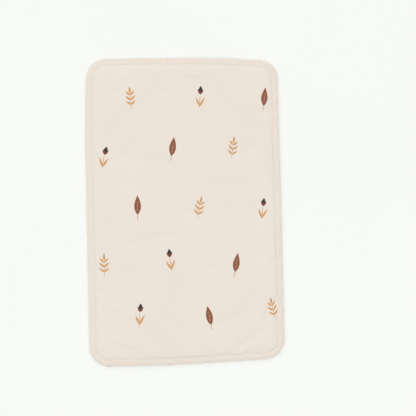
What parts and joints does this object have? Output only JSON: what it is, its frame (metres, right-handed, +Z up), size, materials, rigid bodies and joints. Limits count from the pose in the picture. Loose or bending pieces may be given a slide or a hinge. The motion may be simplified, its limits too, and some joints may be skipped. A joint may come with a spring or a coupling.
{
  "type": "changing pad",
  "caption": "Thin padded changing mat: a printed coated-cloth top and a plain underside sewn round a foam core, with rounded corners and a topstitched turned edge.",
  "frame": {"origin": "centre of the underside, where the mat lies on the floor or table", "axes": "+Y towards the head end, along the mat's length; +X to the right seen from above; +Z up"},
  "size_m": [0.381, 0.598, 0.0096],
  "materials": {
    "printed_cloth": "cream coated cloth with a leather grain, satin, small sparse print",
    "plain_cloth": "cream coated cloth with a leather grain, satin, unprinted",
    "foam": "open-cell foam, matt",
    "thread": "cream polyester sewing thread"
  },
  "bodies": {
    "root": {"top_cover": "printed_cloth", "underside_cover": "plain_cloth", "foam_core": "foam", "topstitch_needle_thread": "thread", "topstitch_bobbin_thread": "thread", "seam_needle_thread": "thread", "seam_bobbin_thread": "thread"}
  },
  "joints": []
}
